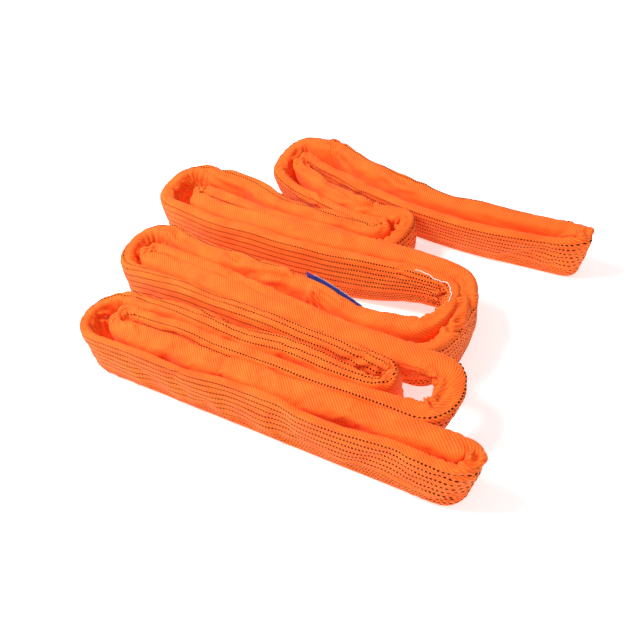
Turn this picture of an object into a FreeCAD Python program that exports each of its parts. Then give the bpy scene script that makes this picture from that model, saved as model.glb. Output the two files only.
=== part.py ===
import FreeCAD, Part
import math, os

# An endless polyester round sling, laid out double in a flat zigzag of eight runs, its band standing on edge.
# Units are millimetres, Z is up and the floor is Z = 0. X runs along the runs, Y from the front run to the back run.
# The zero point is the middle of the footprint on the floor.

V = FreeCAD.Vector
os.makedirs("parts", exist_ok=True)

# ---- driving dimensions ----
BAND_HEIGHT = 105.0      # width of the band with its core in, which stands upright here
BAND_THICK = 27.0        # sleeve and core together
EDGE_CUT = 7.0           # the band's long edges are cut back by this much
WALL = 1.6               # sleeve cloth
HANK_COUNT = 4           # yarn hanks side by side in the sleeve
HANK_WIDE = 22.4
HANK_HIGH = 24.5
TAPE_LONG = 40.0         # tape over the joined ends of one hank
TAPE_THICK = 0.3
YARN_WIDE = 1.6          # black marker yarns along the outer face
YARN_PROUD = 0.25
YARN_HEIGHTS = [94, 83, 72, 61, 50, 39, 25.5, 20, 14.5, 9]   # one line per tonne of rating
LABEL_LONG, LABEL_HIGH, LABEL_THICK = 146.0, 64.0, 0.7
LABEL_FOOT = 34.0        # height of the label's lower edge
FILM_THICK = 0.3
LABEL_AT = V(124, -23, 0)   # fold line between the sewn tab and the loose label
LABEL_TURN = 12.2        # how far the loose label stands off the X direction, in degrees
CENTRE = V(30, -72.5, 0)    # moves the plan's own zero to the middle of the footprint

# Centre line of the band: corner points and the radius of the bend at each, as (x, y, radius).
# The two strands lie side by side. Strand A is the outer one in the left-hand bends, B in the right-hand ones.
STRAND_A = [
    (392, -254, 15.4),                       # front end bight
    (-309, -254, 49), (-309, -153, 49),      # first left bend
    (0, -161, 220),
    (241, -161, 15.4), (241, -130, 15.4),    # first right bend, a tight curl
    (0, -130, 220),
    (-379, -103, 52), (-379, 4, 52),         # second left bend
    (34, -20, 90), (112, -38, 90),
    (245, -38, 56), (245, 84, 56),           # second right bend, an open loop
    (67, 78, 134), (-202, 72, 220),
    (-452, 99, 58), (-452, 222, 58),         # third left bend
    (-280, 213, 134), (-168, 179, 134),
    (34, 178, 15.4), (34, 209, 15.4),        # third right bend, a tight curl
    (-22, 211, 66), (-140, 255, 134),
    (-279, 302, 42), (-279, 399, 46),        # fourth left bend
    (-185, 399, 90), (-67, 352, 134), (112, 301, 134),
    (372, 296, 15.4),                        # back end bight
]
STRAND_B = [
    (372, 265, 15.4), (112, 268, 134),
    (-237, 367, 15), (-237, 336, 15),        # fourth left bend
    (-140, 288, 134), (-22, 240, 90),
    (66, 240, 46), (66, 147, 46),            # third right bend
    (-202, 147, 168),
    (-381, 174, 17), (-381, 137, 17),        # third left bend
    (-202, 106, 220), (67, 115, 220),
    (279, 119, 73), (279, -69, 73),          # second right bend
    (90, -69, 168),
    (-343, -34, 15.5), (-343, -67, 15.5),    # second left bend
    (67, -99, 168),
    (325, -99, 46), (325, -192, 46),         # first right bend
    (0, -192, 220),
    (-267, -186, 17), (-267, -223, 17),      # first left bend
    (392, -223, 15.4),
]


def bent_path(points):
    """A closed wire of straight runs joined by tangent arcs, one arc at each point."""
    bends = []
    for i, (x, y, radius) in enumerate(points):
        corner = V(x, y, 0)
        back = (V(*points[i - 1][:2], 0) - corner).normalize()
        ahead = (V(*points[(i + 1) % len(points)][:2], 0) - corner).normalize()
        half = back.getAngle(ahead) / 2
        reach = radius / math.tan(half)
        middle = corner + (back + ahead).normalize() * (radius / math.sin(half))
        bends.append((corner + back * reach, middle + (corner - middle).normalize() * radius,
                      corner + ahead * reach))
    edges = []
    for i, (start, mid, end) in enumerate(bends):
        edges.append(Part.Arc(start, mid, end).toShape())
        following = bends[(i + 1) % len(bends)][0]
        if (following - end).Length > 0.01:
            edges.append(Part.makeLine(end, following))
    return Part.Wire(edges)


def swept(path, section):
    """A solid with this section all along the path. Section points are (to the left of the path, height)."""
    first = path.Edges[0]
    start = first.valueAt(first.FirstParameter)
    along = first.tangentAt(first.FirstParameter)
    left = V(-along.y, along.x, 0)
    corners = [start + left * a + V(0, 0, z) for a, z in section]
    pipe = Part.BRepOffsetAPI.MakePipeShell(path)
    pipe.setBiNormalMode(V(0, 0, 1))
    pipe.add(Part.makePolygon(corners + corners[:1]))
    pipe.build()
    pipe.makeSolid()
    return pipe.shape()


def eight_sided(width, low, high, cut_low, cut_high):
    """Section of a band with its lower and upper long edges cut back."""
    w = width / 2
    return [(-w, low + cut_low), (-w + cut_low, low), (w - cut_low, low), (w, low + cut_low),
            (w, high - cut_high), (w - cut_high, high), (-w + cut_high, high), (-w, high - cut_high)]


def box(x0, x1, y0, y1, z0, z1):
    return Part.makeBox(x1 - x0, y1 - y0, z1 - z0, V(x0, y0, z0))


made = {}
centre_line = bent_path(STRAND_A + STRAND_B)

# ---- sleeve: a woven tube all the way round, hollow for the core ----
inner_cut = EDGE_CUT - WALL * (2 - math.sqrt(2))
tube = swept(centre_line, eight_sided(BAND_THICK, 0, BAND_HEIGHT, EDGE_CUT, EDGE_CUT))
hollow = swept(centre_line, eight_sided(BAND_THICK - 2 * WALL, WALL, BAND_HEIGHT - WALL, inner_cut, inner_cut))
made["sleeve"] = tube.cut(hollow)

# ---- core: four endless yarn hanks one above another, each with tape over its joined ends ----
spare = (BAND_HEIGHT - 2 * WALL - HANK_COUNT * HANK_HIGH) / (HANK_COUNT + 1)
for i in range(HANK_COUNT):
    low = WALL + spare + i * (HANK_HIGH + spare)
    cut_low = inner_cut if i == 0 else 2.0
    cut_high = inner_cut if i == HANK_COUNT - 1 else 2.0
    made["core_hank_%d" % (i + 1)] = swept(
        centre_line, eight_sided(HANK_WIDE, low, low + HANK_HIGH, cut_low, cut_high))

    # the tapes sit one after another along the straight front run
    x0 = -60 + 70 * i
    rings = []
    for grow in (0.05, 0.05 + TAPE_THICK):
        flat = eight_sided(HANK_WIDE + 2 * grow, low - grow, low + HANK_HIGH + grow, cut_low, cut_high)
        outline = [V(x0, STRAND_A[0][1] + a, z) for a, z in flat]
        rings.append(Part.Face(Part.makePolygon(outline + outline[:1])).extrude(V(TAPE_LONG, 0, 0)))
    made["hank_tape_%d" % (i + 1)] = rings[1].cut(rings[0])

# ---- black marker yarns woven into the sleeve's outer face, the left side of the path ----
face = BAND_THICK / 2
for i, height in enumerate(YARN_HEIGHTS):
    low, high = height - YARN_WIDE / 2, height + YARN_WIDE / 2
    made["marker_yarn_%02d" % (i + 1)] = swept(
        centre_line, [(face, low), (face + YARN_PROUD, low), (face + YARN_PROUD, high), (face, high)])

# ---- white closing seam of the sleeve, near the top edge inside the open right-hand loop ----
loop_corner, loop_next, loop_bend = V(245, 84, 0), V(67, 78, 0), 56
leaving = (loop_next - loop_corner).normalize()
middle = (V(0, -1, 0) + leaving).normalize()
loop_centre = loop_corner + middle * (loop_bend / math.sin(V(0, -1, 0).getAngle(middle)))
loop_face = loop_bend - face - 0.3
seam_plan = []
for radius in (loop_face, loop_face - 0.5):
    sweep_start = loop_centre + V(radius, 0, 0)
    sweep_mid = loop_centre + V(radius * math.cos(0.75), radius * math.sin(0.75), 0)
    sweep_end = loop_centre + V(radius * math.cos(1.5), radius * math.sin(1.5), 0)
    seam_plan.append(Part.Arc(sweep_start, sweep_mid, sweep_end).toShape())
ends = [Part.makeLine(seam_plan[0].Vertexes[k].Point, seam_plan[1].Vertexes[k].Point) for k in (0, 1)]
seam_face = Part.Face(Part.Wire(Part.__sortEdges__(seam_plan + ends)))
seam_face.translate(V(0, 0, 95.9))
made["closing_seam"] = seam_face.extrude(V(0, 0, 1.2))

# ---- label: a tab sewn to the sleeve, a loose blue label hinged on its fold and a clear film over it ----
top = LABEL_FOOT + LABEL_HIGH
made["label_tab"] = box(124.4, 140, -24.2, -23.5, LABEL_FOOT, top)
made["tab_stitch"] = box(131.5, 132.7, -23.5, -23.1, LABEL_FOOT + 2, top - 2)


def on_label(x0, x1, y0, y1, z0, z1):
    """A box on the loose label: x is measured from the fold to the free end, y away from the sleeve behind it."""
    shape = box(-x1, -x0, y0, y1, z0, z1)
    shape.rotate(V(0, 0, 0), V(0, 0, 1), -LABEL_TURN)
    shape.translate(LABEL_AT)
    return shape


made["label"] = on_label(0, LABEL_LONG, 0, LABEL_THICK, LABEL_FOOT, top)
made["label_film"] = on_label(8, LABEL_LONG - 3, LABEL_THICK, LABEL_THICK + FILM_THICK, LABEL_FOOT + 3, top - 3)
rim_out = on_label(9, LABEL_LONG - 4, LABEL_THICK + FILM_THICK, LABEL_THICK + 2 * FILM_THICK,
                   LABEL_FOOT + 4, top - 4)
rim_in = on_label(10.2, LABEL_LONG - 5.2, LABEL_THICK, LABEL_THICK + 3 * FILM_THICK,
                  LABEL_FOOT + 5.2, top - 5.2)
made["film_stitch"] = rim_out.cut(rim_in)

for name, shape in made.items():
    shape.translate(CENTRE)
    shape.exportStep("parts/%s.step" % name)
    print(name, "solids", len(shape.Solids), "valid", shape.isValid(), "volume", round(shape.Volume / 1000, 2), "cm3")
print("centre line", round(centre_line.Length), "mm; sleeve volume over section times length",
      round(made["sleeve"].Volume / ((tube.Volume - hollow.Volume)), 4))
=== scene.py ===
"""An orange endless round sling, folded in a zigzag and standing on its edge: the looks.

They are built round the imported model, in its frame. Sizes are in mm here, and the meshes are in metres.
"""
import math

import bpy
import numpy as np
from mathutils import Matrix, Vector


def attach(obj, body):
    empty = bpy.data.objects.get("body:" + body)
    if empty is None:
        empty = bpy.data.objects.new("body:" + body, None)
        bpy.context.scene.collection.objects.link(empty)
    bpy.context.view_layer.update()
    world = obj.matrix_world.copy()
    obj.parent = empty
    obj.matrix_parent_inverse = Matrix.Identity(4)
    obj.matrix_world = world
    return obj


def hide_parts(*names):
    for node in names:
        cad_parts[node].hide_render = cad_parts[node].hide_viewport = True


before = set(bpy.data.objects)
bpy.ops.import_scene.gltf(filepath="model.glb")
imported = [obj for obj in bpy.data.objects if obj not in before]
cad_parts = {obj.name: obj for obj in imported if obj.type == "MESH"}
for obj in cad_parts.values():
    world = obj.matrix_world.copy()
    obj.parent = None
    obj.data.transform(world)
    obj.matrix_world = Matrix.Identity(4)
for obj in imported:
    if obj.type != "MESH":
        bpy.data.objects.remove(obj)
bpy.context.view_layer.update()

# ---------------------------------------------------------------- sizes, mm
CENTRE = np.array([30.0, -72.5])      # the footprint's centre, as in the CAD source
RING = 44                             # points round the cover, before finer() doubles them
STEP = 7.0                            # length between rings, before finer() doubles their number
GIRTH = 250.0                         # once round the cover
BAND_HEIGHT = 105                     # a plain band, which the yarns' heights below refer to
BAND_LOW = 27                         # its thickness low down
BAND_TOP = 18                         # its thickness at the top
MARKS = [94, 83, 72, 61, 50, 39, 25.5, 20, 14.5, 9]   # heights of the ten yarns on a plain band
PITCH = 5.4                           # one stitch of a marker yarn
DASH = 3.2                            # the dark part of a stitch
YARN_HALF = 1.35                      # half the width of a dash
LOW_YARN_HALF = 0.8                   # the same for the four low yarns, which lie closer together
LOW_YARNS_END = 30                    # all four are lower than this
CORE_HANKS = 4
CORE_START = 0.12                     # where the lowest hank starts, as a share of the band's height
CORE_SHARE = 0.19                     # each hank's share of that height

# The route, once round. A row is: x and y at the floor; how far the top leans in x and in y; height;
# thickness low down; thickness at the top; how far the cover is rolled round its core, which brings the
# stripes up over the top edge; and how far the lower edge hangs clear of the floor, left out where it is 0.
X, Y, LEAN_X, LEAN_Y, HIGH, LOW, TOP, ROLL, LIFT = range(9)
ROUTE = [
    # run 1, front strand, right to left
    (361, -259, 14, 2, 89, 27, 20, 4), (250, -259, 6, 2, 87, 28, 16, 4), (0, -259, 0, 2, 85, 28, 14, 4),
    (-210, -259, -4, 0, 85, 28, 15, 4), (-329, -258, -13, -6, 87, 27, 20, 6),
    (-329, -156, -15, 0, 88, 26, 24, 12), (-220, -156, -6, 2, 95, 26, 29, 26),
    # run 2, back strand, to the tight curl
    (0, -161, 0, 2, 101, 27, 32, 34), (150, -161, 0, 0, 100, 27, 31, 32), (233, -165, 5, -4, 93, 26, 20, 20),
    (233, -127, 5, 4, 93, 26, 20, 20, 12), (180, -130, 0, 9, 98, 27, 32, 30, 8),
    # run 3, front strand
    (0, -130, 0, 14, 102, 27, 34, 38), (-200, -118, -2, 15, 102, 28, 33, 36),
    (-290, -108, -5, 13, 100, 28, 31, 24), (-368, -103, -21, 12, 100, 28, 28, 12),
    (-374, 4, -21, 21, 108, 28, 29, 8), (-285, -2, -6, 10, 103, 27, 31, 10),
    # run 4, back strand, and the wide loop
    (-120, -12, 0, 10, 101, 26, 30, 6), (34, -20, 0, 8, 93, 26, 28, 2), (112, -38, 0, 2, 88, 26, 26, 0),
    (175, -38, 2, 6, 102, 27, 26, 0), (243, -38, 6, 6, 103, 27, 27, 2), (243, 82, 4, 6, 95, 27, 26, 8, 50),
    (150, 82, 0, 8, 96, 27, 27, 8, 36),
    # run 5, front strand
    (67, 78, 0, 8, 97, 28, 29, 6, 12), (-90, 74, 0, 12, 97, 28, 30, 4), (-202, 72, 0, 13, 98, 28, 30, 4),
    (-340, 85, -4, 12, 99, 28, 30, 4), (-443, 99, -17, 12, 101, 28, 29, 6),
    (-443, 220, -19, 12, 104, 28, 30, 10), (-365, 218, -4, 8, 103, 27, 31, 14),
    # run 6, back strand, to the upper curl
    (-280, 213, 0, 8, 98, 27, 31, 17), (-168, 179, 0, 10, 96, 27, 31, 16), (-60, 178, 0, 6, 96, 27, 30, 12),
    (34, 176, 3, -2, 88, 27, 22, 8), (34, 211, 3, 2, 88, 27, 22, 6), (4, 210, 2, -4, 88, 27, 29, 4),
    # run 7, front strand
    (-22, 211, 0, -8, 90, 27, 29, 4), (-140, 255, -6, -18, 86, 28, 29, 5),
    (-220, 282, -8, -18, 88, 28, 29, 6), (-266, 302, -20, -10, 93, 28, 28, 8),
    (-266, 397, -20, 6, 100, 28, 29, 9), (-230, 397, -4, 6, 102, 28, 31, 9),
    # run 8, back strand
    (-185, 397, 0, 6, 99, 28, 31, 9), (-67, 350, 0, 4, 98, 28, 31, 9), (112, 300, 0, 4, 97, 28, 30, 9),
    (250, 300, 2, 2, 96, 26, 28, 8), (341, 301, 11, 0, 95, 26, 25, 6), (363, 300, 25, 0, 94, 26, 23, 4),
    # the back eye, and run 8, front strand
    (363, 275, 24, -12, 93, 24, 23, 2), (341, 277, 10, -20, 89, 24, 25, 2), (112, 278, 0, -24, 87, 24, 29, 2),
    (-67, 320, 0, -20, 89, 27, 29, 2), (-206, 358, -4, -14, 94, 27, 28, 2),
    (-237, 367, -6, -8, 96, 27, 27, 0), (-237, 336, -6, -12, 95, 27, 28, -3),
    (-206, 322, -4, -15, 93, 27, 30, -6),
    # run 7, back strand, round the outside of the curl
    (-140, 288, 0, -15, 94, 27, 33, -6), (-22, 240, 2, -8, 95, 27, 33, -6), (30, 240, 6, -2, 93, 27, 32, -5),
    (65, 240, 8, 2, 90, 28, 31, -3), (66, 147, 8, -4, 86, 28, 30, 0), (-20, 147, 0, 0, 92, 28, 31, 2),
    # run 6, front strand
    (-202, 147, 0, 2, 96, 28, 31, 2), (-350, 170, -2, 4, 98, 27, 31, 1), (-381, 174, -5, 4, 98, 27, 29, 0),
    (-381, 137, -5, 8, 98, 27, 30, -4), (-350, 127, -2, 11, 100, 27, 32, -8),
    # run 5, back strand, round the outside of the wide loop
    (-202, 106, 0, 14, 102, 27, 34, -9), (67, 115, 0, 10, 101, 27, 35, -9), (180, 116, 2, 4, 98, 28, 34, -9),
    (258, 112, 2, 0, 95, 28, 33, -8, 10), (270, -69, 9, -6, 90, 28, 31, -3), (190, -69, 2, -6, 91, 28, 31, 1),
    # run 4, front strand
    (90, -69, 0, -2, 93, 28, 31, 2), (-120, -52, 0, 6, 97, 28, 31, 2), (-310, -37, -4, 9, 99, 27, 31, 1),
    (-343, -34, -6, 9, 99, 27, 30, 0), (-343, -67, -6, 12, 100, 27, 31, -3),
    (-310, -71, -2, 16, 102, 27, 33, -5),
    # run 3, back strand, round the outside of the first curl
    (-120, -88, 0, 16, 101, 27, 35, -6), (67, -99, 0, 14, 99, 27, 35, -7),
    (220, -98, 2, 8, 97, 28, 34, -7, 56), (318, -95, 6, 2, 94, 28, 46, -6, 78),
    (320, -194, 13, 3, 92, 28, 60, 0, 14), (240, -194, 6, 2, 98, 28, 33, 6),
    # run 2, front strand
    (60, -192, 0, -4, 97, 28, 30, 8), (-90, -190, 0, -3, 99, 28, 31, 10),
    (-236, -187, -2, -3, 97, 27, 30, 10), (-267, -186, -7, -3, 97, 27, 30, 4),
    (-267, -223, -7, -2, 94, 27, 33, -6), (-236, -223, -2, -3, 93, 27, 38, -10),
    # run 1, back strand
    (0, -223, 0, -3, 93, 27, 41, -10), (250, -223, 5, 0, 95, 27, 39, -10), (361, -223, 17, 4, 98, 27, 33, -7),
    (384, -223, 33, 5, 96, 27, 26, -2), (384, -259, 30, 0, 92, 27, 22, 2),
]
ROUTE = [row + (0,) * (LIFT + 1 - len(row)) for row in ROUTE]

# how a section changes with the face that looks to the front, as shares
SMOOTH_SHORTER = 0.035                # height lost where the smooth inner face does
SMOOTH_FULLER = 0.20                  # thickness its top gains there
SMOOTH_SLOPE = 0.20                   # how steeply its top rises towards the striped face there
STRIPED_LEANER = 0.06                 # thickness lost at the top where the striped face does
UPRIGHT = 0.80                        # below 1, the outline's height changes faster near the middle
BOXY = 0.34                           # the smaller, the flatter the faces and the squarer the corners


# ---------------------------------------------------------------- the cover's line and sections
def smooth_loop(rows, per_span=24):
    """A closed quadratic spline with the rows as its control points."""
    p = np.array(rows, float)
    prev, nxt = np.roll(p, 1, 0), np.roll(p, -1, 0)
    t = (np.arange(per_span) / per_span)[None, :, None]
    a, b, c = prev[:, None], p[:, None], nxt[:, None]
    q = 0.5 * ((1 - t) ** 2 * a + (1 + 2 * t - 2 * t * t) * b + t * t * c)
    return q.reshape(-1, p.shape[1])


def even_steps(q, step):
    """Rows spaced evenly along the loop's length, and that length."""
    gap = np.linalg.norm(np.roll(q[:, :2], -1, 0) - q[:, :2], axis=1)
    s = np.concatenate([[0], np.cumsum(gap)])
    n = int(round(s[-1] / step))
    at = np.linspace(0, s[-1], n, endpoint=False)
    closed = np.vstack([q, q[:1]])
    return np.stack([np.interp(at, s, closed[:, k]) for k in range(q.shape[1])], 1), s[-1]


def ease_loop(a, sigma):
    """A closed row of numbers smoothed by a bell curve, sigma in rows."""
    k = np.arange(-int(4 * sigma) - 1, int(4 * sigma) + 2)
    w = np.exp(-0.5 * (k / sigma) ** 2)
    w /= w.sum()
    return sum(wi * np.roll(a, -int(ki), 0) for wi, ki in zip(w, k))


def ripple(rng, s, length, shortest, longest, count=9):
    """Seeded soft waviness along the loop, about -1 to 1; it joins up at the end."""
    out = np.zeros_like(s)
    for _ in range(count):
        turns = int(round(length / rng.uniform(shortest, longest)))
        out += np.sin(2 * math.pi * turns * s / length + rng.uniform(0, 2 * math.pi))
    return out / math.sqrt(count / 2) / 1.6


line, LENGTH = even_steps(smooth_loop(ROUTE), STEP)
line = ease_loop(line, 1.2)
ROWS = len(line)
along = np.arange(ROWS) * (LENGTH / ROWS)
ahead = np.roll(line[:, :2], -1, 0) - np.roll(line[:, :2], 1, 0)
ahead /= np.linalg.norm(ahead, axis=1)[:, None]
left = np.stack([-ahead[:, 1], ahead[:, 0]], 1)     # the striped outer face is on the left
turn = np.unwrap(np.arctan2(ahead[:, 1], ahead[:, 0]))
turned = (np.roll(turn, -1) - np.roll(turn, 1) + math.pi) % (2 * math.pi) - math.pi
bend = ease_loop(turned, 1.5) / (2 * LENGTH / ROWS)  # how sharply the line turns, + to the left

rng = np.random.default_rng(7)
WAVES = [ripple(rng, along, LENGTH, 90, 340) for _ in range(5)]


def section(row, k):
    """Ring k: (across, height) points from the bottom, up the outer face, over and down the inner face."""
    smooth_near = max(0.0, float(ahead[k, 0]))          # 1 where the smooth inner face looks to the front
    striped_near = max(0.0, -float(ahead[k, 0]))        # 1 where the striped outer face does
    high = row[HIGH] * (1 - SMOOTH_SHORTER * smooth_near)
    low_w = row[LOW]
    top_w = row[TOP] * (1 + SMOOTH_FULLER * smooth_near - STRIPED_LEANER * striped_near)
    t = np.linspace(0, 2 * math.pi, 361)[:-1]
    y = -np.cos(t)                                      # -1 at the bottom, 1 at the top
    s = np.sin(t)                                       # + on the outer face
    z = 0.5 + 0.5 * np.sign(y) * np.abs(y) ** UPRIGHT
    belly = np.abs(s) ** BOXY
    w = low_w + (top_w - low_w) * np.clip((z - 0.35) / 0.6, 0, 1) ** 1.3
    across = np.sign(s) * belly * w / 2
    pts = np.stack([across, z * high + SMOOTH_SLOPE * smooth_near * across * z ** 3], 1)
    seg = np.linalg.norm(np.roll(pts, -1, 0) - pts, axis=1)
    run = np.concatenate([[0], np.cumsum(seg)])
    at = np.linspace(0, run[-1], RING, endpoint=False)
    closed = np.vstack([pts, pts[:1]])
    return np.stack([np.interp(at, run, closed[:, 0]), np.interp(at, run, closed[:, 1])], 1)


def build_grid():
    """The smooth cover as a (rows, ring, 3) grid: each row's section, leaning, slumped and lifted."""
    grid = np.zeros((ROWS, RING, 3))
    for k, row in enumerate(line):
        ring = section(row, k)
        rise = np.clip(ring[:, 1] / row[HIGH], 0, 1.1)
        # soft slumps and swellings of the loose yarn inside, mm
        swell = 0.5 * WAVES[0][k] * np.sin(math.pi * rise) + 0.4 * WAVES[1][k] * np.sin(2 * math.pi * rise)
        inner_swell = -0.8 * swell - 0.6 * WAVES[3][k] * np.sin(3 * math.pi * rise)
        across = ring[:, 0] + np.where(ring[:, 0] > 0, swell, inner_swell)
        sway = 1.3 * WAVES[4][k] * rise
        top = 1.0 + 0.013 * WAVES[2][k] * rise
        grid[k, :, 0] = row[X] + row[LEAN_X] * rise + left[k, 0] * (across + sway)
        grid[k, :, 1] = row[Y] + row[LEAN_Y] * rise + left[k, 1] * (across + sway)
        grid[k, :, 2] = ring[:, 1] * top + row[LIFT] * (1 - rise)
    grid[:, :, :2] += CENTRE
    return grid


STRAIGHT = int(np.argmin(ahead[:, 0] ** 2))      # a row whose section has no slope


# ---------------------------------------------------------------- meshes
def grid_mesh(name, g, material, uv=True):
    """A closed tube from a (rows, ring, 3) grid in mm. u is metres along, v is 0 to 1 round."""
    rows, ring = g.shape[:2]
    verts = (g.reshape(-1, 3) / 1000).astype(np.float32)
    i, j = np.meshgrid(np.arange(rows), np.arange(ring), indexing="ij")
    i2, j2 = (i + 1) % rows, (j + 1) % ring
    quads = np.stack([i * ring + j, i * ring + j2, i2 * ring + j2, i2 * ring + j], -1).reshape(-1, 4)
    me = bpy.data.meshes.new(name)
    me.from_pydata(verts.tolist(), [], quads.tolist())
    if uv:
        layer = me.uv_layers.new(name="cloth")
        step = LENGTH / rows / 1000
        u = np.stack([i * step, i * step, (i + 1) * step, (i + 1) * step], -1)
        v = np.stack([j / ring, (j + 1) / ring, (j + 1) / ring, j / ring], -1)
        layer.data.foreach_set("uv", np.stack([u, v], -1).reshape(-1).astype(np.float32))
    me.shade_smooth()
    o = bpy.data.objects.new(name, me)
    bpy.context.scene.collection.objects.link(o)
    if material:
        me.materials.append(material)
    return o


def outward(g):
    """Unit outward directions of a grid."""
    du = np.roll(g, -1, 0) - np.roll(g, 1, 0)
    dv = np.roll(g, -1, 1) - np.roll(g, 1, 1)
    n = np.cross(dv, du)
    return n / np.maximum(np.linalg.norm(n, axis=-1), 1e-6)[..., None]


def weave_noise(rng, shape, long_lo, long_hi, turns_lo, turns_hi, count, creased=0.0):
    """Seeded cloth waviness over the whole grid, joined up both ways.

    Its wavelength along the loop is long_lo to long_hi, mm, and it has turns_lo to turns_hi waves round.
    """
    rows, ring = shape
    s, v = np.meshgrid(np.arange(rows) / rows, np.arange(ring) / ring, indexing="ij")
    out = np.zeros(shape)
    for _ in range(count):
        a = int(round(LENGTH / rng.uniform(long_lo, long_hi)))
        b = int(rng.integers(turns_lo, turns_hi + 1)) * int(rng.choice([-1, 1]))
        w = np.sin(2 * math.pi * (a * s + b * v) + rng.uniform(0, 2 * math.pi))
        out += w if not creased else (np.abs(w) ** creased - 0.6) * 1.5
    return out / math.sqrt(count)


def near(x, y):
    """The length along the loop of the row nearest a place on the floor plan."""
    return along[int(np.argmin(np.hypot(line[:, 0] - x, line[:, 1] - y)))]


# Creases listed where the cloth bunches. A row is: plan x and y; place round the cover (0 bottom,
# 0.5 top, the striped face first); number of creases; how far they reach, mm; depth, mm; the way they point,
# degrees (0 along the route, 90 over the top towards the smooth face); and the angle they fan over.
GATHERS = [
    (-264, -206, 0.46, 7, 62, 6.0, 0, 300), (-238, -223, 0.44, 4, 95, 4.5, 0, 50),
    (-326, -212, 0.60, 6, 60, 6.0, 90, 130), (-300, -157, 0.50, 4, 90, 3.5, 0, 50),
    (-150, -159, 0.47, 2, 150, 3.0, 0, 12), (246, -146, 0.45, 8, 46, 6.0, 0, 320),
    (180, -130, 0.46, 3, 80, 3.5, 0, 60), (318, -110, 0.60, 5, 72, 5.0, 60, 120),
    (318, -184, 0.55, 5, 62, 5.0, 180, 140), (236, 64, 0.40, 5, 85, 7.5, -90, 95),
    (240, -10, 0.44, 4, 55, 5.0, -90, 90), (120, 82, 0.45, 3, 90, 4.0, 180, 50),
    (262, 66, 0.50, 6, 62, 6.5, 0, 150), (268, -18, 0.50, 6, 62, 6.5, 180, 150),
    (-40, -15, 0.53, 5, 130, 6.0, 180, 40), (20, -20, 0.56, 5, 62, 5.0, 60, 110),
    (-200, -8, 0.49, 3, 140, 3.5, 0, 18), (-366, -70, 0.60, 6, 60, 6.0, 90, 140),
    (-330, 3, 0.50, 5, 120, 4.5, 0, 45), (-338, -50, 0.46, 7, 52, 5.5, 0, 300),
    (-440, 130, 0.60, 7, 72, 6.5, 90, 150), (-410, 219, 0.50, 5, 125, 5.0, 0, 50),
    (-378, 156, 0.45, 8, 62, 6.5, 0, 300), (-264, 335, 0.60, 7, 66, 6.5, 90, 150),
    (-215, 397, 0.50, 5, 130, 5.0, 0, 50), (-236, 352, 0.45, 7, 56, 6.0, 0, 300),
    (36, 194, 0.46, 8, 52, 6.5, 0, 320), (62, 200, 0.54, 5, 62, 5.5, 90, 140),
    (-10, 240, 0.50, 4, 90, 5.0, 180, 60), (384, -242, 0.50, 6, 42, 4.5, 0, 320),
    (363, 288, 0.50, 6, 42, 4.5, 0, 320), (-30, 178, 0.49, 3, 200, 4.0, 180, 12),
    (-60, 250, 0.52, 3, 170, 4.5, 180, 14), (60, 306, 0.50, 3, 230, 4.5, 180, 12),
    (-60, 320, 0.48, 3, 150, 5.0, 0, 20), (-120, 255, 0.47, 3, 120, 4.5, 0, 22),
    (-120, -52, 0.48, 2, 170, 3.0, 180, 8),
]
CREASE_LIMIT = 7.5                    # no crease is deeper than this, mm


def gathered(g):
    """Sharp creases fanning out from the GATHERS, each a valley with a soft ridge on both sides."""
    rng = np.random.default_rng(5)
    rows, ring = g.shape[:2]
    here = np.arange(rows) * (LENGTH / rows)
    round_mm = np.arange(ring) * (GIRTH / ring)
    depth_map = np.zeros((rows, ring))
    for x, y, place, count, reach, depth, way, fan in GATHERS:
        ds = (here - near(x, y) + LENGTH / 2) % LENGTH - LENGTH / 2
        rows_near = np.flatnonzero(np.abs(ds) < reach * 1.2)
        dv = (round_mm - place * GIRTH + GIRTH / 2) % GIRTH - GIRTH / 2
        u, v = np.meshgrid(ds[rows_near], dv, indexing="ij")
        for k in range(count):
            turn_by = math.radians(way + fan * (k / max(count - 1, 1) - 0.5) + rng.uniform(-9, 9))
            far = reach * rng.uniform(0.7, 1.1)
            a = u * math.cos(turn_by) + v * math.sin(turn_by)          # mm along this crease
            b = v * math.cos(turn_by) - u * math.sin(turn_by) + 3.5 * np.sin(a / 17 + rng.uniform(0, 6))
            wide = 3.4 + 0.055 * np.clip(a, 0, None)
            fade = np.clip(a / (0.2 * far) + 0.25, 0, 1) * np.clip(1.15 * (1 - a / far), 0, 1)
            ridge = 0.75 * np.exp(-((np.abs(b) - 2.0 * wide) / wide) ** 2)
            valley = -np.exp(-np.abs(b / wide) ** 1.5) + ridge
            depth_map[rows_near] += depth * rng.uniform(0.6, 1.0) * fade * valley
    clear_of_floor = np.clip(g[..., 2] / 25, 0, 1)
    depth_map = CREASE_LIMIT * np.tanh(1.25 * depth_map / CREASE_LIMIT) * clear_of_floor
    out = g + outward(g) * depth_map[..., None]
    out[..., 2] = np.maximum(out[..., 2], 0.0)
    return out


# depths and spacings of the folds in puckered(), mm
FAN_DEPTH = 9.0
FAN_SPACING = 15.5
FINE_DEPTH = 2.8
FINE_SPACING = 8.3
PULL_DEPTH = 5.2
PULL_SPACING = 21
LONG_FOLD_DEPTH = 1.3


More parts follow.
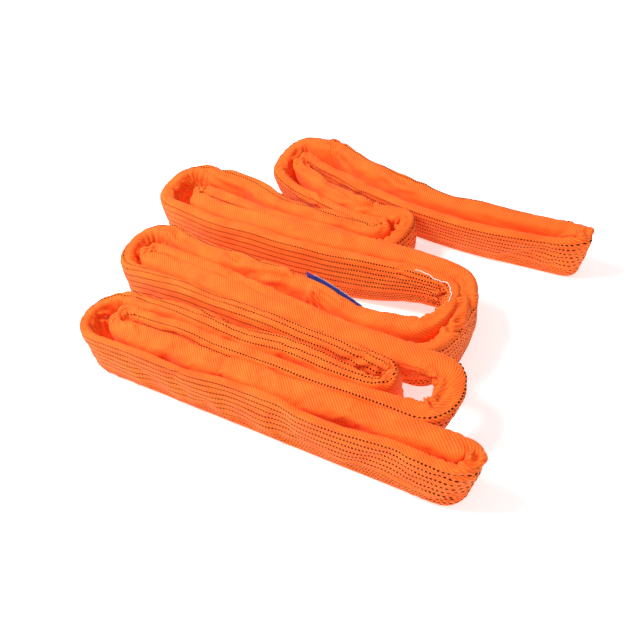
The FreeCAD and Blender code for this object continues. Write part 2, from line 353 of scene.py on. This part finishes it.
def puckered(g):
    """Folds where a bend bunches the cloth, long soft creases near the top edge, and small slack wrinkles."""
    rng = np.random.default_rng(21)
    shape = g.shape[:2]
    here = np.arange(shape[0]) * (LENGTH / shape[0])

    def at_rows(a):
        """A value of the line's rows, read off at the grid's rows."""
        return np.interp(here, np.append(along, LENGTH), np.append(a, a[0]))

    lean_left = np.stack([at_rows(left[:, 0]), at_rows(left[:, 1])], 1)
    turning = at_rows(bend)
    n = outward(g)
    mid = (g + np.roll(g[:, ::-1], 1, 1)) / 2
    side = (g - mid)[..., 0] * lean_left[:, 0, None] + (g - mid)[..., 1] * lean_left[:, 1, None]
    tight = np.clip(turning[:, None] * side * 1.3, -0.6, 0.95)          # + where the cloth is bunched
    bunch = np.sqrt(np.clip(tight - 0.03, 0, None))
    rise = g[..., 2] / 104
    window = np.clip(rise * 3.0, 0, 1) ** 0.8
    s = here[:, None] + 9.0 * weave_noise(rng, shape, 45, 160, 1, 3, 6)
    drift = 1.6 * weave_noise(rng, shape, 60, 200, 1, 2, 5)
    fan = np.abs(np.sin(math.pi * s / FAN_SPACING + drift)) ** 0.75 - 0.62
    fine = np.abs(np.sin(math.pi * s / FINE_SPACING - 1.4 * drift + 1)) ** 0.8 - 0.6
    folds = bunch * window * (FAN_DEPTH * fan + FINE_DEPTH * fine)
    # the pull of each bend reaches a little way along the straight stretch next to it
    reach = at_rows(ease_loop(np.abs(bend), 9.0))[:, None] * 24
    pull_line = np.sin(math.pi * s / PULL_SPACING + 2 * math.pi * 1.6 * rise + drift)
    pulls = np.clip(reach, 0, 0.8) * window * PULL_DEPTH * (np.abs(pull_line) ** 0.65 - 0.65)
    upper = np.clip((rise - 0.48) / 0.4, 0, 1)
    long_folds = upper * LONG_FOLD_DEPTH * weave_noise(rng, shape, 160, 520, 3, 6, 8, creased=0.7)
    small = 0.22 * weave_noise(rng, shape, 22, 60, 3, 8, 12)
    slack = small + 0.32 * weave_noise(rng, shape, 80, 260, 1, 4, 8)
    clear_of_floor = np.clip(g[..., 2] / 10, 0, 1)
    out = g + n * ((folds + pulls + long_folds + slack) * clear_of_floor)[..., None]
    out[..., 2] = np.maximum(out[..., 2], 0.0)
    return out


PIN_HEIGHT = 9                        # the cloth lower than this stays where it is, mm


def settled(g, cap=3.0, frames=12):
    """The cover after its slack cloth has buckled under a little inside pressure.

    No point moves further than cap, mm.
    """
    rows, ring = g.shape[:2]
    o = grid_mesh("settling", g, None, uv=False)
    pins = o.vertex_groups.new(name="pins")
    low = [int(i) for i in np.flatnonzero(g.reshape(-1, 3)[:, 2] < PIN_HEIGHT)]
    pins.add(low, 1.0, "REPLACE")
    cloth = o.modifiers.new("cloth", "CLOTH")
    c = cloth.settings
    c.quality = 4
    c.mass = 0.25
    c.air_damping = 4
    c.tension_stiffness = 18
    c.compression_stiffness = 18
    c.shear_stiffness = 6
    c.bending_stiffness = 0.12
    c.shrink_min = -0.03                                # below 0, the cloth is slack
    c.use_pressure = True
    c.uniform_pressure_force = 1.6
    c.vertex_group_mass = "pins"
    c.effector_weights.gravity = 0
    cloth.collision_settings.use_collision = False
    scene = bpy.context.scene
    cloth.point_cache.frame_start = 1
    cloth.point_cache.frame_end = frames
    for f in range(1, frames + 1):
        scene.frame_set(f)
    got = o.evaluated_get(bpy.context.evaluated_depsgraph_get())
    co = np.zeros(rows * ring * 3, np.float32)
    got.data.vertices.foreach_get("co", co)
    scene.frame_set(1)
    bpy.data.objects.remove(o)
    move = co.reshape(rows, ring, 3).astype(float) * 1000 - g
    far = np.linalg.norm(move, axis=-1, keepdims=True)
    return g + move * (cap * np.tanh(far / cap) / np.maximum(far, 1e-6))


def finer(g, times=2):
    """The grid with more rows and ring points, on a smooth spline through the old ones, closed both ways."""
    for axis in (0, 1):
        p0, p1, p2, p3 = (np.roll(g, k, axis) for k in (1, 0, -1, -2))
        slope = p2 - p0
        curve = 2 * p0 - 5 * p1 + 4 * p2 - p3
        twist = 3 * p1 - p0 - 3 * p2 + p3
        shares = np.arange(times) / times
        parts = [0.5 * (2 * p1 + slope * f + curve * f * f + twist * f ** 3) for f in shares]
        shape = [s * (times if k == axis else 1) for k, s in enumerate(g.shape)]
        g = np.stack(parts, axis + 1).reshape(shape)
    return g


grid = build_grid()
grid = settled(grid)
grid[..., 2] = np.maximum(grid[..., 2], 0.0)
grid = gathered(puckered(finer(grid)))


# ---------------------------------------------------------------- materials
FINE_WEAVE = 1.15                     # spacing of single threads, mm


def plain(name, colour, rough, **inputs):
    """A material of one colour; inputs are further values of its shader, with _ for a space."""
    m = bpy.data.materials.new(name)
    m.use_nodes = True
    b = m.node_tree.nodes["Principled BSDF"]
    b.inputs["Base Color"].default_value = (*colour, 1)
    b.inputs["Roughness"].default_value = rough
    for key, value in inputs.items():
        b.inputs[key.replace("_", " ")].default_value = value
    return m


def cloth_material(name, colour, deep, rib, rib_depth, girth, rough=0.75, sheen=0.35, painted_glow=0.0,
                   fuzz=(1, 1, 1)):
    """Woven cloth on the "cloth" map (u metres along, v once round, girth in mm).

    It has diagonal ribs (rib is their spacing, mm), whose grooves are painted darker as painted shade, a fine
    weave, uneven dye and fuzz of its own colour.
    """
    m = bpy.data.materials.new(name)
    m.use_nodes = True
    nt = m.node_tree
    node = nt.nodes.new
    link = nt.links.new
    uv = node("ShaderNodeUVMap")
    uv.uv_map = "cloth"
    size = node("ShaderNodeMapping")
    size.inputs["Scale"].default_value = (1000, girth, 1)          # both in mm
    link(uv.outputs[0], size.inputs[0])
    sep = node("ShaderNodeSeparateXYZ")
    link(size.outputs[0], sep.inputs[0])

    def math_node(op, x, y=None, z=None):
        """A sum on numbers or sockets."""
        n = node("ShaderNodeMath")
        n.operation = op
        for k, value in enumerate((x, y, z)):
            if value is None:
                continue
            if isinstance(value, (int, float)):
                n.inputs[k].default_value = value
            else:
                link(value, n.inputs[k])
        return n.outputs[0]

    def wave(along_per_mm, round_per_mm):
        """0 to 1 along one family of threads."""
        a = math_node("MULTIPLY", sep.outputs[0], 2 * math.pi * along_per_mm)
        b = math_node("MULTIPLY", sep.outputs[1], 2 * math.pi * round_per_mm)
        c = math_node("SINE", math_node("ADD", a, b))
        return math_node("MULTIPLY_ADD", c, 0.5, 0.5)

    def noise(scale, detail):
        """Seedless noise over the cloth, scale per mm, about 0.5."""
        n = node("ShaderNodeTexNoise")
        n.inputs["Scale"].default_value = scale
        n.inputs["Detail"].default_value = detail
        link(size.outputs[0], n.inputs["Vector"])
        return n.outputs[0]

    ribs = wave(0.8 / rib, -0.7 / rib)
    fine = math_node("MULTIPLY", wave(1 / FINE_WEAVE, 0), wave(0, 1 / FINE_WEAVE))
    blotch = noise(0.022, 4)
    slub = noise(0.55, 2)
    # the colour runs from deep to colour: darker in the rib grooves, which is painted shade, and blotchy and
    # slubbed, which is uneven dye
    rib_shade_and_dye = math_node("MULTIPLY_ADD", ribs, 0.40, 0.21)
    rib_shade_and_dye = math_node("ADD", rib_shade_and_dye, math_node("MULTIPLY", math_node("SUBTRACT", blotch, 0.5), 0.55))
    rib_shade_and_dye = math_node("ADD", rib_shade_and_dye, math_node("MULTIPLY", math_node("SUBTRACT", slub, 0.5), 0.35))
    ramp = node("ShaderNodeValToRGB")
    dark_end, bright_end = ramp.color_ramp.elements
    dark_end.color = (*deep, 1)
    dark_end.position = 0.12
    bright_end.color = (*colour, 1)
    bright_end.position = 0.72
    link(rib_shade_and_dye, ramp.inputs[0])
    bsdf = nt.nodes["Principled BSDF"]
    link(ramp.outputs[0], bsdf.inputs["Base Color"])
    # a painted red glow, which stands for light that has come through the thin cloth and keeps the shaded
    # creases red
    bsdf.inputs["Emission Color"].default_value = (1.0, 0.05, 0.005, 1)
    bsdf.inputs["Emission Strength"].default_value = painted_glow
    bsdf.inputs["Roughness"].default_value = rough
    bsdf.inputs["Specular IOR Level"].default_value = 0.25
    bsdf.inputs["Sheen Weight"].default_value = sheen
    bsdf.inputs["Sheen Roughness"].default_value = 0.45
    bsdf.inputs["Sheen Tint"].default_value = (*fuzz, 1)
    height = math_node("ADD", math_node("MULTIPLY", ribs, rib_depth), math_node("MULTIPLY", fine, 0.12))
    height = math_node("ADD", height, math_node("MULTIPLY", slub, 0.25))
    bump = node("ShaderNodeBump")
    bump.inputs["Strength"].default_value = 0.85
    bump.inputs["Distance"].default_value = 0.001
    link(height, bump.inputs["Height"])
    link(bump.outputs[0], bsdf.inputs["Normal"])
    return m


ORANGE = (0.97, 0.225, 0.020)
DEEP_ORANGE = (0.90, 0.075, 0.004)
ORANGE_FUZZ = (1.0, 0.62, 0.36)
BLACK = (0.005, 0.002, 0.001)
YARN_WHITE = (0.86, 0.84, 0.77)
DEEP_YARN_WHITE = (0.62, 0.60, 0.53)
TAPE_BUFF = (0.70, 0.64, 0.46)
DEEP_TAPE_BUFF = (0.50, 0.44, 0.30)
BLUE = (0.016, 0.045, 0.42)
DEEP_BLUE = (0.008, 0.02, 0.26)
THREAD_WHITE = (0.88, 0.86, 0.84)
FILM_WHITE = (0.93, 0.90, 0.92)

cover_mat = cloth_material("orange_cover", ORANGE, DEEP_ORANGE, 4.2, 0.65, GIRTH, sheen=0.15, painted_glow=0.10,
                           fuzz=ORANGE_FUZZ)
yarn_mat = plain("black_yarn", BLACK, 0.9, Specular_IOR_Level=0.1)
core_mat = cloth_material("core_yarn", YARN_WHITE, DEEP_YARN_WHITE, 7.0, 0.6, 60.0)
tape_mat = cloth_material("joining_tape", TAPE_BUFF, DEEP_TAPE_BUFF, 3.0, 0.2, 66.0)
label_mat = cloth_material("label_cloth", BLUE, DEEP_BLUE, 1.6, 0.12, 64.0, rough=0.5, sheen=0.1)
thread_mat = plain("white_thread", THREAD_WHITE, 0.7, Sheen_Weight=0.3)
film_mat = plain("clear_film", FILM_WHITE, 0.18, Transmission_Weight=0.55, IOR=1.45)

# ---------------------------------------------------------------- the cover and its yarns
sleeve = grid_mesh("cover", grid, cover_mat)
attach(sleeve, "sling")
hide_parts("sleeve")


def surface_point(g, s, v):
    """Points of the cloth grid at length s (mm) and ring place v (in ring points), and two directions there.

    The first direction is outward and the second along the cloth.
    """
    rows = g.shape[0]
    a = s / (LENGTH / rows)
    i = np.floor(a).astype(int)
    j = np.floor(v).astype(int)
    fa = (a - i)[..., None]
    fb = (v - j)[..., None]

    def at(p, q):
        return g[p % rows, q % g.shape[1]]

    low_near, low_far = at(i, j), at(i + 1, j)
    up_near, up_far = at(i, j + 1), at(i + 1, j + 1)
    p = (low_near * (1 - fa) + low_far * fa) * (1 - fb) + (up_near * (1 - fa) + up_far * fa) * fb
    du = (low_far - low_near) * (1 - fb) + (up_far - up_near) * fb
    dv = (up_near - low_near) * (1 - fa) + (up_far - low_far) * fa
    n = np.cross(dv, du)
    n /= np.maximum(np.linalg.norm(n, axis=-1), 1e-9)[..., None]
    return p, n, du / np.maximum(np.linalg.norm(du, axis=-1), 1e-9)[..., None]


def ring_place(height):
    """Which ring point of the outer face is at a height, on a plain band."""
    pts = section(np.array([0, 0, 0, 0, BAND_HEIGHT, BAND_LOW, BAND_TOP]), STRAIGHT)
    half = RING // 2
    return float(np.interp(height, pts[: half + 1, 1], np.arange(half + 1)))


# a dash's four cross rows: place along it, width as a share, and how proud its middle stands, mm
DASH_ROWS = ((-0.5, 0.55, 0.02), (-0.28, 1, 0.42), (0.28, 1, 0.42), (0.5, 0.55, 0.02))
EDGE_DROP = 0.25                      # how much lower than the middle a dash's two edges lie, mm


def marker_yarn(index, height):
    """One black yarn: a dash over each weft crossing, standing a little proud of the cloth."""
    n = int(LENGTH / PITCH)
    s = (np.arange(n) + 0.5 * (index % 2)) * (LENGTH / n)
    rolled = np.interp(s, np.append(along, LENGTH), np.append(line[:, ROLL], line[0, ROLL]))
    v = 2 * (ring_place(height) + rolled / GIRTH * RING)       # the finer grid has twice the ring points
    half = YARN_HALF if height > LOW_YARNS_END else LOW_YARN_HALF
    verts = []
    for end, wide, lift in DASH_ROWS:
        p, out, fwd = surface_point(grid, s + end * DASH, v)
        side = np.cross(out, fwd)
        edge_height = out * (lift - EDGE_DROP)
        verts += [p + edge_height - side * half * wide, p + out * lift, p + edge_height + side * half * wide]
    verts = np.stack(verts, 1)
    quads = [[3 * k + c, 3 * k + 1 + c, 3 * k + 4 + c, 3 * k + 3 + c] for k in range(3) for c in range(2)]
    faces = (np.array(quads)[None] + 12 * np.arange(n)[:, None, None]).reshape(-1, 4)
    me = bpy.data.meshes.new("yarn")
    me.from_pydata((verts.reshape(-1, 3) / 1000).tolist(), [], faces.tolist())
    me.shade_smooth()
    me.materials.append(yarn_mat)
    o = bpy.data.objects.new("stitch_line_%02d" % (index + 1), me)
    bpy.context.scene.collection.objects.link(o)
    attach(o, "sling")
    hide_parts("marker_yarn_%02d" % (index + 1))


for index, height in enumerate(MARKS):
    marker_yarn(index, height)

# ---------------------------------------------------------------- the core, which the cover hides
def core_part(name, node, material, low, high, grow=1.0, first=None, last=None):
    """A hank of the core (or the tape round it), inside the cover between two heights (0..1 of the band).

    A hank goes once round the loop. A tape covers the line's rows first to last only.
    """
    ring_n = 12
    picks = np.arange(0, len(grid), 4)
    if first is not None:
        picks = np.arange(2 * first, 2 * last)
    half = grid.shape[1] // 2
    t = np.linspace(0, 2 * math.pi, ring_n, endpoint=False)
    out = np.zeros((len(picks), ring_n, 3))
    for n, k in enumerate(picks):
        # the narrowest of the rows round about, so that no crease in the cover reaches the core;
        # row k itself comes last, because its two faces also give the middle
        wide = 1e6
        for near_row in (k - 4, k - 2, k + 2, k + 4, k):
            ring_pts = grid[near_row % len(grid)]
            up_o = ring_pts[: half + 1]
            up_i = np.vstack([ring_pts[:1], ring_pts[half:][::-1]])
            lvl = np.linspace(low, high, 3) * min(up_o[:, 2].max(), up_i[:, 2].max()) * 0.93
            face_o, face_i = (
                np.stack([np.interp(lvl, np.maximum.accumulate(f[:, 2]), f[:, c]) for c in range(3)], 1)
                for f in (up_o, up_i)
            )
            wide = min(wide, np.linalg.norm(face_o - face_i, axis=1).min() * 0.25 * grow)
        mid = (face_o + face_i) / 2
        tall = np.linalg.norm(mid[2] - mid[0]) * 0.45 * (2 - 1 / grow if grow > 1 else 1)
        side = (face_o[1] - face_i[1]) / max(np.linalg.norm(face_o[1] - face_i[1]), 1e-6)
        rise = (mid[2] - mid[0]) / max(np.linalg.norm(mid[2] - mid[0]), 1e-6)
        middle = (mid[0] + mid[2]) / 2
        out[n] = middle + side * (np.cos(t) * wide)[:, None] + rise * (np.sin(t) * tall)[:, None]
    if first is None:
        o = grid_mesh(name, out, material)
    else:
        o = open_tube(name, out, material)
    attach(o, "sling")
    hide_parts(node)


def open_tube(name, g, material):
    """A tube from a (rows, ring, 3) grid in mm, closed round but not along, with flat ends."""
    rows, ring = g.shape[:2]
    quads = [[i * ring + j, i * ring + (j + 1) % ring, (i + 1) * ring + (j + 1) % ring, (i + 1) * ring + j]
             for i in range(rows - 1) for j in range(ring)]
    ends = [list(range(ring))[::-1], [(rows - 1) * ring + j for j in range(ring)]]
    me = bpy.data.meshes.new(name)
    me.from_pydata((g.reshape(-1, 3) / 1000).tolist(), [], quads + ends)
    layer = me.uv_layers.new(name="cloth")
    loops = np.zeros(len(me.loops), int)
    me.loops.foreach_get("vertex_index", loops)
    places = np.stack([loops // ring * 0.007, loops % ring / ring], 1)
    layer.data.foreach_set("uv", places.reshape(-1).astype(np.float32))
    me.shade_smooth()
    me.materials.append(material)
    o = bpy.data.objects.new(name, me)
    bpy.context.scene.collection.objects.link(o)
    return o


TAPE_ROWS = 7                         # a tape's length, in rows of the line
for h in range(CORE_HANKS):
    low = CORE_START + CORE_SHARE * h
    high = CORE_START + CORE_SHARE * (h + 1)
    core_part("core_yarn_%d" % (h + 1), "core_hank_%d" % (h + 1), core_mat, low, high)
    # the tapes sit a little apart along the front run
    start = 40 + 10 * h
    core_part("core_tape_%d" % (h + 1), "hank_tape_%d" % (h + 1), tape_mat, low, high, 1.06,
              start, start + TAPE_ROWS)


def ribbon(name, path, low, high, thick, material, droop):
    """A standing strip of cloth along path (plan, mm), between two heights, with rounded long edges.

    droop gives how far it has dropped, mm, at a share 0..1 of the path.
    """
    p = np.array(path, float)
    d = np.gradient(p, axis=0)
    d /= np.linalg.norm(d, axis=1)[:, None]
    nrm = np.stack([-d[:, 1], d[:, 0]], 1)
    levels = 9
    n = len(p)
    verts = []
    for side in (1, -1):
        for k in range(levels):
            f = k / (levels - 1)
            for q in range(n):
                bow = 0.4 * math.sin(math.pi * f) * math.sin(math.pi * q / (n - 1))
                off = side * thick / 2 * min(1, 3 * min(f, 1 - f) + 0.35) - bow
                xy = p[q] + nrm[q] * off + CENTRE
                height = low + (high - low) * f - droop(q / (n - 1))
                verts.append([xy[0] / 1000, xy[1] / 1000, height / 1000])

    def at(face, k, q):
        return (face * levels + k) * n + q

    top = levels - 1
    faces = []
    for k in range(top):
        for q in range(n - 1):
            faces.append([at(0, k, q), at(0, k + 1, q), at(0, k + 1, q + 1), at(0, k, q + 1)])
            faces.append([at(1, k, q), at(1, k, q + 1), at(1, k + 1, q + 1), at(1, k + 1, q)])
    for q in range(n - 1):
        faces.append([at(0, 0, q), at(0, 0, q + 1), at(1, 0, q + 1), at(1, 0, q)])
        faces.append([at(0, top, q), at(1, top, q), at(1, top, q + 1), at(0, top, q + 1)])
    for k in range(top):
        faces.append([at(0, k, 0), at(1, k, 0), at(1, k + 1, 0), at(0, k + 1, 0)])
        faces.append([at(0, k, n - 1), at(0, k + 1, n - 1), at(1, k + 1, n - 1), at(1, k, n - 1)])
    me = bpy.data.meshes.new(name)
    me.from_pydata(verts, [], faces)
    layer = me.uv_layers.new(name="cloth")
    loops = np.zeros(len(me.loops), int)
    me.loops.foreach_get("vertex_index", loops)
    places = np.stack([loops % n / (n - 1) * 0.146, loops // n % levels / top], 1)
    layer.data.foreach_set("uv", places.reshape(-1).astype(np.float32))
    me.materials.append(material)
    o = bpy.data.objects.new(name, me)
    bpy.context.scene.collection.objects.link(o)
    return o


# ---------------------------------------------------------------- the label, from its fold to its free end
FOLD_X = 124                          # plan x of the fold, mm
FREE_X = -20                          # plan x of the free end
LABEL_POINTS = 33                     # points along it
LABEL_LOW = 34                        # its lower edge's height at the free end
LABEL_HIGH = 98                       # its upper edge's
LABEL_THICK = 0.7
FILM_LOW = 38.5
FILM_HIGH = 99.5
FILM_THICK = 0.5
FOLD_DROP = 16                        # how far the fold hangs lower than the free end


def face_behind(xs):
    """How far back run 4's striped face stands at each x (plan, mm), where it is fullest."""
    first, last = (int(near(x, y) / LENGTH * len(grid)) for x, y in ((-90, -14), (180, -38)))
    face = (grid[first:last, : RING + 1] - [*CENTRE, 0]).reshape(-1, 3)
    face = face[(face[:, 2] > 12) & (face[:, 2] < 101)]
    return np.array([face[np.abs(face[:, 0] - x) < 6, 1].max() for x in xs])


def eased(a):
    """A short row of numbers smoothed, its ends kept."""
    for _ in range(6):
        a = np.concatenate([a[:1], (a[:-2] + 2 * a[1:-1] + a[2:]) / 4, a[-1:]])
    return a


def label_line(offset=0.0):
    """The label's line: against the cover behind it at the fold, then away from it to the free end."""
    x = np.linspace(FOLD_X, FREE_X, LABEL_POINTS)
    free = np.interp(x, (FREE_X, FOLD_X), (14, -23))
    clear = face_behind(x) + 1.4
    y = np.maximum(eased(np.maximum(free, clear)), clear)
    return np.stack([x, y + offset], 1)


def sag(f):
    """How far the label has dropped, mm, from the fold (f = 0) to the free end (f = 1)."""
    return FOLD_DROP * (1 - f) ** 1.4


def film_sag(f):
    """The same for the film, which starts and stops short of the label's ends."""
    return sag(0.09 + 0.78 * f)


def margin_sag(f):
    """The same for the margin, away from the fold."""
    return FOLD_DROP + 2 * f


flap = ribbon("label_flap_cloth", label_line(), LABEL_LOW, LABEL_HIGH, LABEL_THICK, label_mat, sag)
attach(flap, "label_flap")
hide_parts("label")
film = ribbon("label_flap_film", label_line(0.75)[3:-4], FILM_LOW, FILM_HIGH, FILM_THICK, film_mat, film_sag)
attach(film, "label_flap")
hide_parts("label_film")
margin_x = np.linspace(127.4, 140.4, 9)       # clear of the fold, which swings 2 mm this way
margin_line = np.stack([margin_x, eased(face_behind(margin_x) + 1.0)], 1)
margin = ribbon("label_tab_cloth", margin_line, LABEL_LOW, LABEL_HIGH, LABEL_THICK, label_mat, margin_sag)
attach(margin, "sling")
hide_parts("label_tab")


# ---------------------------------------------------------------- white threads
STITCH_RADIUS = 0.35
LINE_RADIUS = 0.75


def thread(name, node, body, points, radius):
    """A round white thread through the points (mm, frame coordinates)."""
    p = np.array(points, float)
    d = np.gradient(p, axis=0)
    d /= np.linalg.norm(d, axis=1)[:, None]
    side = np.cross(d, (0.31, 0.17, 0.94))              # a direction that no thread follows
    side /= np.linalg.norm(side, axis=1)[:, None]
    other = np.cross(d, side)
    t = np.linspace(0, 2 * math.pi, 7)[:-1]
    ring = side[:, None] * np.cos(t)[:, None] + other[:, None] * np.sin(t)[:, None]
    o = open_tube(name, p[:, None] + radius * ring, thread_mat)
    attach(o, body)
    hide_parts(node)


# a seam line round the film's edge: corners as (share of the label's length, height)
edge = label_line(1.2)
corners = [(0.12, 41), (0.5, 41), (0.86, 41), (0.86, 97), (0.5, 97), (0.12, 97), (0.12, 41)]
seam = []
for (f0, z0), (f1, z1) in zip(corners, corners[1:]):
    for k in range(12):
        f = f0 + (f1 - f0) * k / 12
        z = z0 + (z1 - z0) * k / 12
        x, y = (np.interp(f * (LABEL_POINTS - 1), range(LABEL_POINTS), edge[:, c]) for c in (0, 1))
        seam.append([x + CENTRE[0], y + CENTRE[1], z - sag(f)])
thread("film_seam", "film_stitch", "label_flap", seam, STITCH_RADIUS)

# the row that holds the label's margin
seam_x = margin_line[4, 0] + CENTRE[0]
seam_y = margin_line[4, 1] + 0.6 + CENTRE[1]
upright_seam = [[seam_x, seam_y, 21 + 58 * k / 20] for k in range(21)]
thread("margin_seam", "tab_stitch", "sling", upright_seam, STITCH_RADIUS)

# the white thread along the top of the open loop's cover, wandering a little
t = np.linspace(0, 1, 90)
along_top = np.interp(t, (0, 0.25, 0.6, 0.85, 1), (21.6, 21.2, 20.6, 21.2, 21.8)) * 2
along_top = along_top + 0.5 * np.sin(17 * t) + 0.3 * np.sin(41 * t + 1)
spot, out, _ = surface_point(grid, near(238, 24) + t * (near(158, 82) - near(238, 24)), along_top)
thread("white_thread_line", "closing_seam", "sling", spot + out * 0.5, LINE_RADIUS)

# ---------------------------------------------------------------- floor, light, camera
FLOOR_GLOW = 0.55                     # lifts the floor towards the photo's plain white
WORLD_LIGHT = 0.42
KEY_PLACE = (-1.2, -0.7, 2.1)         # metres, from the left and above
KEY_SIZE = 1.0
KEY_POWER = 68
FILL_PLACE = (1.3, -1.6, 1.3)
FILL_SIZE = 1.6
FILL_POWER = 6
SENSOR_WIDTH = 36                     # mm
LENS = 46.125                         # mm
CAMERA_PLACE = (0.7557, -0.9312, 0.9773)
CAMERA_DOWN = math.radians(41)        # how far it looks down
CAMERA_ROLL = math.radians(12)        # how far it is turned about its own line of sight

bpy.ops.mesh.primitive_plane_add(size=30, location=(0, 0, -0.0005))
floor = bpy.context.object
floor.name = "floor"
floor_mat = plain("floor_white", (0.88, 0.88, 0.88), 0.9, Emission_Color=(1, 1, 1, 1),
                  Emission_Strength=FLOOR_GLOW)
floor.data.materials.append(floor_mat)

world = bpy.data.worlds.new("studio")
bpy.context.scene.world = world
world.use_nodes = True
world.node_tree.nodes["Background"].inputs[0].default_value = (1, 1, 1, 1)
world.node_tree.nodes["Background"].inputs[1].default_value = WORLD_LIGHT


def lamp(name, place, size, power):
    """A square lamp that looks at the frame's origin."""
    data = bpy.data.lights.new(name, "AREA")
    data.size = size
    data.energy = power
    o = bpy.data.objects.new(name, data)
    bpy.context.scene.collection.objects.link(o)
    o.location = place
    o.rotation_euler = (-Vector(place)).to_track_quat("-Z", "Y").to_euler()


lamp("key", KEY_PLACE, KEY_SIZE, KEY_POWER)
lamp("fill", FILL_PLACE, FILL_SIZE, FILL_POWER)

cam_data = bpy.data.cameras.new("camera")
cam_data.sensor_width = SENSOR_WIDTH
cam_data.lens = LENS
cam = bpy.data.objects.new("camera", cam_data)
bpy.context.scene.collection.objects.link(cam)
level_ahead = np.array([-0.6455, 0.7638, 0])
level_right = np.array([0.7638, 0.6455, 0])
up_axis = np.array([0, 0, 1.0])
look = level_ahead * math.cos(CAMERA_DOWN) - up_axis * math.sin(CAMERA_DOWN)
lift = level_ahead * math.sin(CAMERA_DOWN) + up_axis * math.cos(CAMERA_DOWN)
right = level_right * math.cos(CAMERA_ROLL) - lift * math.sin(CAMERA_ROLL)
above = lift * math.cos(CAMERA_ROLL) + level_right * math.sin(CAMERA_ROLL)
stance = Matrix.Identity(4)
for r in range(3):
    stance[r][0] = right[r]
    stance[r][1] = above[r]
    stance[r][2] = -look[r]
    stance[r][3] = CAMERA_PLACE[r]
cam.matrix_world = stance
bpy.context.scene.camera = cam
bpy.context.scene.view_settings.view_transform = "Standard"
